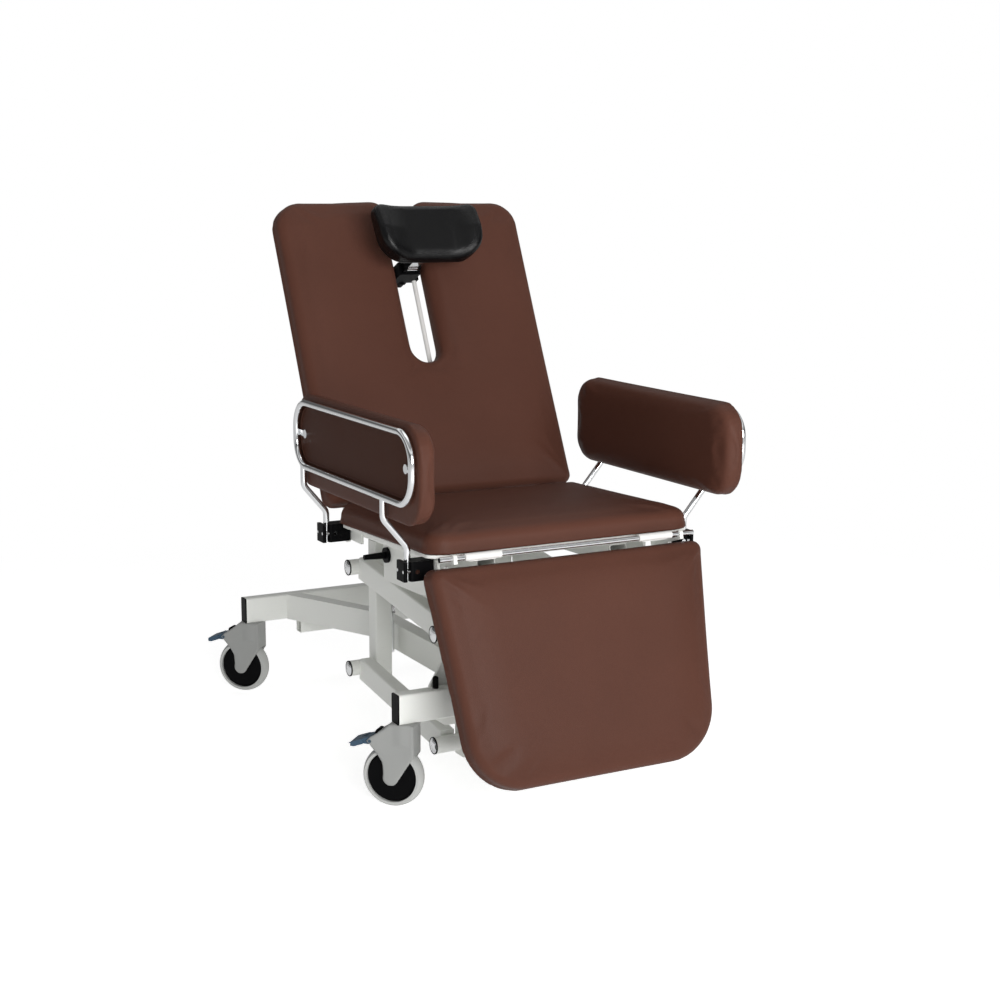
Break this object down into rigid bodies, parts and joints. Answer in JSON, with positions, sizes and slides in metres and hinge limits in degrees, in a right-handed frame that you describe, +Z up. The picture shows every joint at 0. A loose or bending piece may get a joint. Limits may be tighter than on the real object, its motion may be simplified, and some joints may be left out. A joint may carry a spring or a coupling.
{
  "type": "examination chair",
  "caption": "Height-adjustable ear, nose and throat examination chair on braked castors, with reclining back, swing-up leg pad, padded armrests and sliding headrest.",
  "frame": {"origin": "on the floor, below the middle of the chair's box", "axes": "+X to the patient's left, +Y to the chair's back, +Z up; drawn at the lowest seat height"},
  "size_m": [0.7944, 1.1994, 1.1566],
  "materials": {
    "white_frame": "smooth white powder coat",
    "chrome": "bright chrome plate",
    "spring_steel": "ground steel",
    "brown_leather": "brown leatherette, fine grain",
    "black_leather": "black leatherette",
    "black_plastic": "black moulded plastic",
    "black_paint": "black paint",
    "black_rubber": "moulded rubber",
    "castor_grey": "grey nylon housing",
    "pedal_blue": "blue-grey nylon",
    "tyre_grey": "grey tread",
    "actuator_alu": "anodised",
    "motor_dark": "dark paint",
    "white_plastic": "white nylon"
  },
  "bodies": {
    "base": {"base_front_tube": "white_frame", "base_rear_tube": "white_frame", "base_beams": "white_frame", "front_uprights": "white_frame", "tube_end_caps": "black_plastic", "rubber_buffers": "black_rubber", "front_pivot_pins": "chrome", "lift_bracket": "white_frame"},
    "castor_fl": {"castor_fork_fl": "castor_grey"},
    "wheel_fl": {"castor_core_fl": "black_plastic", "castor_tyre_fl": "tyre_grey"},
    "pedal_fl": {"castor_pedal_fl": "pedal_blue"},
    "castor_fr": {"castor_fork_fr": "castor_grey"},
    "wheel_fr": {"castor_core_fr": "black_plastic", "castor_tyre_fr": "tyre_grey"},
    "pedal_fr": {"castor_pedal_fr": "pedal_blue"},
    "castor_rl": {"castor_fork_rl": "castor_grey"},
    "wheel_rl": {"castor_core_rl": "black_plastic", "castor_tyre_rl": "tyre_grey"},
    "pedal_rl": {"castor_pedal_rl": "pedal_blue"},
    "castor_rr": {"castor_fork_rr": "castor_grey"},
    "wheel_rr": {"castor_core_rr": "black_plastic", "castor_tyre_rr": "tyre_grey"},
    "pedal_rr": {"castor_pedal_rr": "pedal_blue"},
    "lower_link": {"lower_arms": "white_frame"},
    "upper_link": {"upper_arms": "white_frame"},
    "actuator": {"lift_actuator": "actuator_alu", "lift_motor": "motor_dark"},
    "push_rod": {"lift_rod": "spring_steel"},
    "carriage": {"rear_posts": "white_frame", "rear_pivot_pins": "chrome", "seat_beams": "white_frame", "seat_frame": "white_frame", "side_plates": "white_frame", "seat_pan": "white_frame", "seat_pad": "brown_leather", "stop_rods": "chrome", "clamp_bodies": "black_plastic", "clamp_jaws": "black_plastic", "clamp_screws": "chrome", "leg_sleeves": "white_plastic"},
    "handle": {"release_handle": "black_plastic"},
    "legrest": {"leg_hinge_rod": "chrome", "leg_frame": "white_frame", "leg_pad": "brown_leather"},
    "backrest": {"back_frame": "white_frame", "back_pad": "brown_leather", "headrest_rods": "white_plastic"},
    "back_spring": {"back_spring_body": "black_paint"},
    "back_piston": {"back_spring_rod": "spring_steel"},
    "head_slider": {"headrest_slider": "black_plastic"},
    "head_knob": {"headrest_knob": "black_plastic"},
    "headrest": {"headrest_arm": "chrome", "headrest_pad": "black_leather"},
    "armrest_l": {"armrest_left": "chrome", "armrest_pad_left": "brown_leather"},
    "armrest_r": {"armrest_right": "chrome", "armrest_pad_right": "brown_leather"}
  },
  "joints": [
    {"name": "swivel_fl", "type": "hinge", "parent": "base", "child": "castor_fl", "pos_m": [0.306, -0.3545, 0.15], "axis": [0, 0, 1], "continuous": true},
    {"name": "roll_fl", "type": "hinge", "parent": "castor_fl", "child": "wheel_fl", "pos_m": [0.32297, -0.33753, 0.0625], "axis": [-0.7071, 0.7071, 0], "continuous": true},
    {"name": "pedal_fl", "type": "hinge", "parent": "castor_fl", "child": "pedal_fl", "pos_m": [0.35267, -0.30783, 0.134], "axis": [-0.7071, 0.7071, 0], "range_deg": [0, 12]},
    {"name": "swivel_fr", "type": "hinge", "parent": "base", "child": "castor_fr", "pos_m": [-0.306, -0.3545, 0.15], "axis": [0, 0, 1], "continuous": true},
    {"name": "roll_fr", "type": "hinge", "parent": "castor_fr", "child": "wheel_fr", "pos_m": [-0.32297, -0.33753, 0.0625], "axis": [0.7071, 0.7071, 0], "continuous": true},
    {"name": "pedal_fr", "type": "hinge", "parent": "castor_fr", "child": "pedal_fr", "pos_m": [-0.35267, -0.30783, 0.134], "axis": [-0.7071, -0.7071, 0], "range_deg": [0, 12]},
    {"name": "swivel_rl", "type": "hinge", "parent": "base", "child": "castor_rl", "pos_m": [0.306, 0.5085, 0.15], "axis": [0, 0, 1], "continuous": true},
    {"name": "roll_rl", "type": "hinge", "parent": "castor_rl", "child": "wheel_rl", "pos_m": [0.32297, 0.52547, 0.0625], "axis": [-0.7071, 0.7071, 0], "continuous": true},
    {"name": "pedal_rl", "type": "hinge", "parent": "castor_rl", "child": "pedal_rl", "pos_m": [0.35267, 0.55517, 0.134], "axis": [-0.7071, 0.7071, 0], "range_deg": [0, 12]},
    {"name": "swivel_rr", "type": "hinge", "parent": "base", "child": "castor_rr", "pos_m": [-0.306, 0.5085, 0.15], "axis": [0, 0, 1], "continuous": true},
    {"name": "roll_rr", "type": "hinge", "parent": "castor_rr", "child": "wheel_rr", "pos_m": [-0.32297, 0.52547, 0.0625], "axis": [0.7071, 0.7071, 0], "continuous": true},
    {"name": "pedal_rr", "type": "hinge", "parent": "castor_rr", "child": "pedal_rr", "pos_m": [-0.35267, 0.55517, 0.134], "axis": [-0.7071, -0.7071, 0], "range_deg": [0, 12]},
    {"name": "lift", "type": "hinge", "parent": "base", "child": "lower_link", "pos_m": [0, -0.3195, 0.101], "axis": [1, 0, 0], "range_deg": [0, 34]},
    {"name": "carriage_level", "type": "hinge", "parent": "lower_link", "child": "carriage", "pos_m": [0, 0.10575, 0.14945], "axis": [1, 0, 0], "range_deg": [-34, 0]},
    {"name": "upper_link", "type": "hinge", "parent": "base", "child": "upper_link", "pos_m": [0, -0.3195, 0.33], "axis": [1, 0, 0], "range_deg": [0, 34]},
    {"name": "actuator_tilt", "type": "hinge", "parent": "base", "child": "actuator", "pos_m": [0, -0.3035, 0.17], "axis": [1, 0, 0], "range_deg": [0, 28.9]},
    {"name": "push_rod", "type": "slide", "parent": "actuator", "child": "push_rod", "axis": [0, 0.9345, 0.356], "range_m": [0, 0.056]},
    {"name": "recline", "type": "hinge", "parent": "carriage", "child": "backrest", "pos_m": [0, 0.02155, 0.512], "axis": [-1, 0, 0], "range_deg": [-10, 62]},
    {"name": "back_spring", "type": "hinge", "parent": "carriage", "child": "back_spring", "pos_m": [0, -0.15845, 0.477], "axis": [-1, 0, 0], "range_deg": [-1.1, 6.3]},
    {"name": "back_piston", "type": "slide", "parent": "back_spring", "child": "back_piston", "axis": [0, 0.9996, 0.0266], "range_m": [-0.043, 0.008]},
    {"name": "leg_raise", "type": "hinge", "parent": "carriage", "child": "legrest", "pos_m": [0, -0.46345, 0.515], "axis": [-1, 0, 0], "range_deg": [-18, 70]},
    {"name": "headrest_height", "type": "slide", "parent": "backrest", "child": "head_slider", "axis": [0, 0.4274, 0.9041], "range_m": [-0.2, 0.05]},
    {"name": "headrest_tilt", "type": "hinge", "parent": "head_slider", "child": "headrest", "pos_m": [0, 0.25512, 1.02134], "axis": [1, 0, 0], "range_deg": [-25, 25]},
    {"name": "headrest_knob", "type": "hinge", "parent": "head_slider", "child": "head_knob", "pos_m": [0, 0.31117, 0.99484], "axis": [0, 0.9041, -0.4274], "range_deg": [0, 270]},
    {"name": "armrest_height_l", "type": "slide", "parent": "carriage", "child": "armrest_l", "axis": [0, 0, 1], "range_m": [-0.01, 0.025]},
    {"name": "armrest_height_r", "type": "slide", "parent": "carriage", "child": "armrest_r", "axis": [0, 0, 1], "range_m": [-0.01, 0.025]},
    {"name": "release", "type": "hinge", "parent": "carriage", "child": "handle", "pos_m": [-0.2393, -0.13145, 0.455], "axis": [1, 0, 0], "range_deg": [0, 40]}
  ],
  "couplings": [
    {"joint": "carriage_level", "follows": "lift", "ratio": -1},
    {"joint": "upper_link", "follows": "lift", "ratio": 1},
    {"joint": "actuator_tilt", "follows": "lift", "ratio": 0.843},
    {"joint": "push_rod", "follows": "lift", "m_per_rad": 0.0917},
    {"joint": "back_spring", "follows": "recline", "ratio": 0.1},
    {"joint": "back_piston", "follows": "recline", "m_per_rad": -0.0388}
  ]
}
